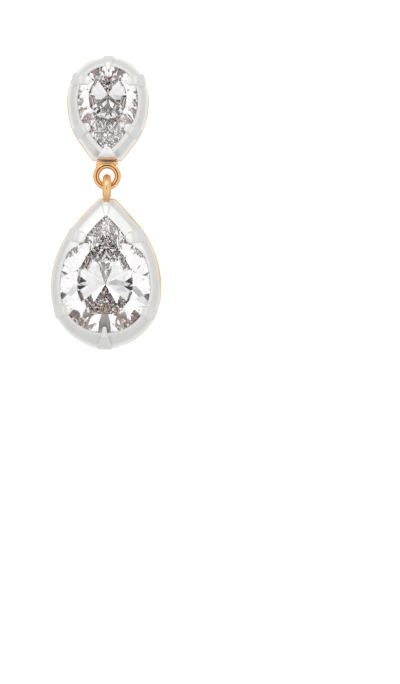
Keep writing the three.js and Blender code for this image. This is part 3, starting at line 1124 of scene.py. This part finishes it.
def new_material(name: str) -> tuple[Any, Any]:
    """Makes a material with an empty node tree.

    Args:
        name: Name of the finish.

    Returns:
        The material and its tree.
    """
    material = bpy.data.materials.new(name)
    material.use_nodes = True
    material.node_tree.nodes.clear()
    return material, material.node_tree


@dataclass(frozen=True)
class Metal:
    """A metal finish: its colour, gloss and hand-finished surface.

    Args:
        name: Name of the finish.
        light: Brighter colour.
        dark: Colour of its dull patches.
        rough_low: Roughness of the glossiest places.
        rough_high: Roughness of the dullest places.
        grain: Size of the finishing marks in mm.
        bump: Depth of the marks in mm.
    """

    name: str
    light: str
    dark: str
    rough_low: float
    rough_high: float
    grain: float
    bump: float

    def make(self) -> Any:
        """Builds the material.

        Returns:
            The material.
        """
        material, tree = new_material(self.name)
        where = add_node(tree, "ShaderNodeTexCoord", {}, {})
        # Patches as wide as a claw, where hand polishing has left the metal a shade duller.
        patches = add_node(
            tree, "ShaderNodeTexNoise",
            {"Scale": 1 / (PATCH_SIZE * MM), "Detail": 3.0, "Roughness": 0.55},
            {"Vector": where.outputs["Object"]},
        )
        # Marks of 0.1 to 0.4 mm, coarser than real ones of about 0.02 mm, so that a pixel shows them.
        marks = add_node(
            tree, "ShaderNodeTexNoise",
            {"Scale": 1 / (self.grain * MM), "Detail": 4.0, "Roughness": 0.6},
            {"Vector": where.outputs["Object"]},
        )
        colour = add_node(tree, "ShaderNodeValToRGB", {}, {"Fac": patches.outputs["Fac"]})
        colour.color_ramp.elements[0].position = 0.3
        colour.color_ramp.elements[0].color = srgb(self.dark)
        colour.color_ramp.elements[1].position = 0.7
        colour.color_ramp.elements[1].color = srgb(self.light)
        rough = add_node(
            tree, "ShaderNodeMapRange",
            {"From Min": 0.3, "From Max": 0.7, "To Min": self.rough_low, "To Max": self.rough_high},
            {"Value": marks.outputs["Fac"]},
        )
        bump = add_node(
            tree, "ShaderNodeBump", {"Strength": 1.0, "Distance": self.bump * MM},
            {"Height": marks.outputs["Fac"]},
        )
        shader = add_node(
            tree, "ShaderNodeBsdfPrincipled", {"Metallic": 1.0},
            {
                "Base Color": colour.outputs["Color"],
                "Roughness": rough.outputs["Result"],
                "Normal": bump.outputs["Normal"],
            },
        )
        add_node(tree, "ShaderNodeOutputMaterial", {}, {"Surface": shader.outputs["BSDF"]})
        return material


@dataclass(frozen=True)
class Crystal:
    """Polished clear cubic zirconia: strong bending of light gives its bright and dark facets.

    Args:
        name: Name of the finish.
        clear: Colour of the body.
        veil: Colour of its faint inner veils.
        ior: Index of refraction.
    """

    name: str
    clear: str
    veil: str
    ior: float

    def make(self) -> Any:
        """Builds the material.

        Returns:
            The material.
        """
        material, tree = new_material(self.name)
        where = add_node(tree, "ShaderNodeTexCoord", {}, {})
        # Veils about a quarter of the larger stone's width, hardly darker than the rest.
        veils = add_node(
            tree, "ShaderNodeTexNoise", {"Scale": 1 / (VEIL_SIZE * MM), "Detail": 2.0},
            {"Vector": where.outputs["Object"]},
        )
        colour = add_node(tree, "ShaderNodeValToRGB", {}, {"Fac": veils.outputs["Fac"]})
        colour.color_ramp.elements[0].position = 0.35
        colour.color_ramp.elements[0].color = srgb(self.veil)
        colour.color_ramp.elements[1].position = 0.65
        colour.color_ramp.elements[1].color = srgb(self.clear)
        shader = add_node(
            tree, "ShaderNodeBsdfPrincipled",
            {"Transmission Weight": 1.0, "Roughness": 0.0, "IOR": self.ior},
            {"Base Color": colour.outputs["Color"]},
        )
        add_node(tree, "ShaderNodeOutputMaterial", {}, {"Surface": shader.outputs["BSDF"]})
        return material


# Soft white metal with a faint grain and broad, blurred highlights.
SATIN_SILVER = Metal("satin_silver", "F3F2F0", "ECECE9", 0.24, 0.36, 0.1, 0.003)
# Pinkish gold that the stones pick up as warm patches.
GOLD_LINING = Metal("pale_gold_lining", "E8CCBA", "D8B6A2", 0.2, 0.3, 0.4, 0.002)
# Warm, nearly mirror-bright gold that shows as a thin glowing line round the silver.
GOLD_PLATE = Metal("polished_gold_plate", "F3CB96", "EBBC85", 0.08, 0.16, 0.35, 0.002)
# Clear and colourless, with crisp bright and dark facets.
ZIRCONIA = Crystal("cut_zirconia", "FFFFFF", "FAFAFC", 2.16)


@dataclass
class Studio:
    """A white sweep under soft light, with a long camera straight in front.

    Args:
        pixel: Millimetres that a pixel shows.
        width: The picture's width in pixels.
        height: The picture's height in pixels.
        distance: From the camera to the eye ring in mm.
        eye: The eye ring's centre in mm.
        eye_pixel: Its place in the picture, from the left and from the top.
        lean: Degrees that the earring leans in the picture.
        tent: The light tent from behind the earring to the camera: place and brightness.
        tent_span: Values of a direction's Y part that the tent's places 0 and 1 stand for.
        above: Gain of the light from above.
        below: Gain of the light from below.
        key: Direction of the soft key light.
        key_edge: Cosines at which it starts and is full.
        key_gain: Its gain.
        bend_from: Where the sweep starts to bend up, in metres along Y.
        bend: Radius of the bend in metres.
        floor: Height of the floor in metres.
        wide: Half width of the sweep in metres.
        near: The floor's front edge in metres along Y.
        top: Height of the backdrop in metres.
        paper_wave: Size of the paper's waves in metres.
        lamp_at: Centre of the right softbox in metres. The left one mirrors it.
        lamp_aim: Place on the backdrop that both face.
        lamp_size: Side of a softbox in metres.
        lamp_power: Power of a softbox in watts.
    """

    pixel: float = 0.0978
    width: int = 400
    height: int = 684
    distance: float = 600.0
    eye: Triple = (0.0, -1.3, -8.1)
    eye_pixel: Point = (107.0, 176.2)
    lean: float = 0.8
    tent: tuple[Point, ...] = (
        (0.01, 0.8),
        (0.26, 0.82),
        (0.45, 0.93),
        (0.63, 1.05),
        (0.985, 1.05),
        (0.991, 0.5),
        (0.995, 0.06),
    )
    tent_span: Point = (0.35, -1.0)
    above: float = 1.06
    below: float = 0.96
    key: Triple = (-0.15, -0.72, 0.68)
    key_edge: Point = (0.94, 0.975)
    key_gain: float = 1.9
    bend_from: float = 0.9
    bend: float = 0.5
    floor: float = -0.25
    wide: float = 2.5
    near: float = -2.0
    top: float = 2.5
    paper_wave: float = 0.0025
    lamp_at: Triple = (1.2, 0.4, 0.4)
    lamp_aim: Triple = (0.0, 1.4, 0.1)
    lamp_size: float = 0.5
    lamp_power: float = 2.5

    def camera(self) -> None:
        """Sets the camera level in front, so that the eye ring falls on its place in the picture."""
        lean = math.radians(self.lean)
        right = Vector((math.cos(lean), 0, math.sin(lean)))
        up = Vector((-math.sin(lean), 0, math.cos(lean)))
        eye = Vector(self.eye)
        centre = eye - right * self.pixel * (self.eye_pixel[0] - self.width / 2)
        centre -= up * self.pixel * (self.height / 2 - self.eye_pixel[1])
        data = bpy.data.cameras.new("camera")
        data.sensor_width = 36.0
        data.lens = 18.0 * self.distance / (self.pixel * self.height / 2)
        data.clip_start, data.clip_end = 0.01, 20.0
        camera = bpy.data.objects.new("camera", data)
        camera.matrix_world = (
            Matrix.Translation((centre + Vector((0, -self.distance, 0))) * MM)
            @ Matrix((right, up, Vector((0, -1, 0)))).transposed().to_4x4()
        )
        bpy.context.scene.collection.objects.link(camera)
        bpy.context.scene.camera = camera

    def sweep(self) -> None:
        """Builds the pale floor that curves up to the backdrop."""
        bm = bmesh.new()
        centre = self.floor + self.bend
        profile = [(self.near, self.floor), (self.bend_from, self.floor)]
        profile += [
            (self.bend_from + self.bend * math.sin(a), centre - self.bend * math.cos(a))
            for a in (math.radians(d) for d in range(10, 91, 10))
        ]
        profile.append((self.bend_from + self.bend, self.top))
        verts = [bm.verts.new((-self.wide, y, z)) for y, z in profile]
        edges = [bm.edges.new(pair) for pair in zip(verts, verts[1:])]
        made = bmesh.ops.extrude_edge_only(bm, edges=edges)
        moved = [v for v in made["geom"] if isinstance(v, bmesh.types.BMVert)]
        bmesh.ops.translate(bm, verts=moved, vec=(2 * self.wide, 0, 0))
        bmesh.ops.recalc_face_normals(bm, faces=bm.faces)
        smooth(bm, sharp=40)
        mesh = bpy.data.meshes.new("sweep")
        bm.to_mesh(mesh)
        bm.free()
        sweep = bpy.data.objects.new("sweep", mesh)
        bpy.context.scene.collection.objects.link(sweep)
        # Matt white paper: an even, nearly pure white ground without a shine.
        material, tree = new_material("white_paper")
        where = add_node(tree, "ShaderNodeTexCoord", {}, {})
        # Waves of 2.5 mm and 0.1 mm deep, far coarser than real fibres of about 0.03 mm.
        waves = add_node(
            tree, "ShaderNodeTexNoise", {"Scale": 1 / self.paper_wave},
            {"Vector": where.outputs["Object"]},
        )
        bump = add_node(
            tree, "ShaderNodeBump", {"Strength": 0.1, "Distance": 0.1 * MM},
            {"Height": waves.outputs["Fac"]},
        )
        shader = add_node(
            tree, "ShaderNodeBsdfPrincipled",
            {"Base Color": srgb("FFFFFF"), "Roughness": 0.9, "Specular IOR Level": 0.0},
            {"Normal": bump.outputs["Normal"]},
        )
        add_node(tree, "ShaderNodeOutputMaterial", {}, {"Surface": shader.outputs["BSDF"]})
        mesh.materials.append(material)
        sweep.visible_glossy = False

    def lamp(self, side: int) -> None:
        """Adds a square softbox that lights the backdrop.

        Args:
            side: 1 for the right one, -1 for the left one.
        """
        name = f"backdrop_{side}"
        data = bpy.data.lights.new(name, "AREA")
        data.shape = "SQUARE"
        data.size = self.lamp_size
        data.energy = self.lamp_power
        lamp = bpy.data.objects.new(name, data)
        centre = Vector((side * self.lamp_at[0], *self.lamp_at[1:]))
        turn = (Vector(self.lamp_aim) - centre).to_track_quat("-Z", "Y")
        lamp.matrix_world = Matrix.Translation(centre) @ turn.to_matrix().to_4x4()
        lamp.visible_glossy = False
        bpy.context.scene.collection.objects.link(lamp)

    def light(self) -> None:
        """Sets the light tent with its dark lens opening and soft key light, and the softboxes."""
        scene = bpy.context.scene
        world = bpy.data.worlds.new("light_tent")
        world.use_nodes = True
        tree = world.node_tree
        tree.nodes.clear()
        where = add_node(tree, "ShaderNodeTexCoord", {}, {})
        axes = add_node(tree, "ShaderNodeSeparateXYZ", {}, {"Vector": where.outputs["Generated"]})
        front = add_node(
            tree, "ShaderNodeMapRange",
            {"From Min": self.tent_span[0], "From Max": self.tent_span[1], "To Min": 0.0,
             "To Max": 1.0},
            {"Value": axes.outputs["Y"]},
        )
        tent = add_node(tree, "ShaderNodeValToRGB", {}, {"Fac": front.outputs["Result"]})
        ramp = tent.color_ramp
        for place, level in self.tent:
            stop = ramp.elements.new(place)
            stop.color = (level, level, level, 1.0)
        ramp.elements.remove(ramp.elements[0])
        ramp.elements.remove(ramp.elements[-1])
        height = add_node(
            tree, "ShaderNodeMapRange",
            {"From Min": -1.0, "From Max": 1.0, "To Min": self.below, "To Max": self.above},
            {"Value": axes.outputs["Z"]},
        )
        near = add_node(
            tree, "ShaderNodeVectorMath", {"operation": "DOT_PRODUCT", 1: self.key},
            {0: where.outputs["Generated"]},
        )
        key = add_node(
            tree, "ShaderNodeMapRange",
            {"From Min": self.key_edge[0], "From Max": self.key_edge[1], "To Min": 1.0,
             "To Max": self.key_gain},
            {"Value": near.outputs["Value"]},
        )
        strength = add_node(
            tree, "ShaderNodeMath", {"operation": "MULTIPLY"},
            {0: height.outputs["Result"], 1: key.outputs["Result"]},
        )
        back = add_node(
            tree, "ShaderNodeBackground", {},
            {"Color": tent.outputs["Color"], "Strength": strength.outputs[0]},
        )
        add_node(tree, "ShaderNodeOutputWorld", {}, {"Surface": back.outputs["Background"]})
        scene.world = world
        scene.view_settings.view_transform = "Standard"
        # Many bounces, so that the stones' inner reflections don't end in black.
        scene.cycles.max_bounces = 32
        scene.cycles.glossy_bounces = 24
        scene.cycles.transmission_bounces = 24
        for side in (-1, 1):
            self.lamp(side)


STUD = Setting(
    stone=Pear(3.05, 3.5, 5.45),
    outline=Pear(4.02, 4.48, 5.72 / (1 - 1.4 / 4.02) ** (1 / FLANK_POWER), 5.72),
    culet=-0.7,
    pavilion=2.45,
    girdle=0.15,
    crown=0.85,
    claws=(
        Claw(0.0, False, 90, 1.15, 0.42, 0.5, 0.2, 1.2),
        Claw(0.69, True, 8, 1.3, 0.95, 0.95, 0.3, 1.4),
        Claw(1.57, True, -27, 1.2, 0.95, 0.66, 0.34, 1.4),
        Claw(2.0, False, -90, 1.9, 0.95, 1.0, 0.26, 1.0),
    ),
    turned=True,
    lift=-0.8,
    back=0.0,
    tip_lap=0.3,
    plate_shift=(0.02, 0.04),
)
DROP = Setting(
    stone=Pear(4.5, 4.65, 8.1),
    outline=Pear(5.44, 6.14, 8.56 / (1 - 0.75 / 5.44) ** (1 / FLANK_POWER), 8.56),
    culet=0.25,
    pavilion=3.75,
    girdle=0.2,
    crown=1.3,
    claws=(
        Claw(0.0, False, 90, 1.75, 0.4, 0.75, 0.25),
        Claw(0.73, True, 12, 1.4, 0.9, 0.72, 0.35, 1.2),
        Claw(1.6, True, -16, 1.4, 1.2, 1.05, 0.4, 1.4),
        Claw(2.0, False, -90, 1.3, 0.3, 1.3, 0.25, 1.0, 0.36),
    ),
    turned=False,
    lift=-18.91,
    back=1.15,
    tip_lap=0.85,
    plate_shift=(0.03, 0.09),
)


def main() -> None:
    """Builds the studio and every piece in order, and dresses them."""
    logging.basicConfig(level=logging.INFO, format="%(name)s: %(message)s")
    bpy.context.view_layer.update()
    studio = Studio()
    studio.camera()
    studio.sweep()
    studio.light()
    silver, gold, crystal = SATIN_SILVER.make(), GOLD_PLATE.make(), ZIRCONIA.make()
    lining = GOLD_LINING.make()
    dressed = []
    for name, setting, body, sides in (
        ("stud", STUD, Body.STUD, ((0.9, 0.965, 1.0), (1.12, 0.965, 1.0))),
        ("drop", DROP, Body.DROP, ()),
    ):
        collet = Collet(name + "_collet", setting, body)
        wall = collet.wall()
        wall.data.materials.append(silver)
        wall.data.materials.append(lining)
        dressed.append((collet.claws(), silver))
        dressed.append((Stone(name + "_stone", setting, body, sides=sides).build(), crystal))
    dressed.append((StudBack("stud_back", STUD, Body.STUD).build(), gold))
    dressed.append((DropBack("drop_back", DROP, Body.DROP).build(), gold))
    dressed.append((EarPost().build(), gold))
    for piece, material in dressed:
        piece.data.materials.append(material)
        if material == gold:
            piece.data.materials.append(lining)


if __name__ == "__main__":
    main()
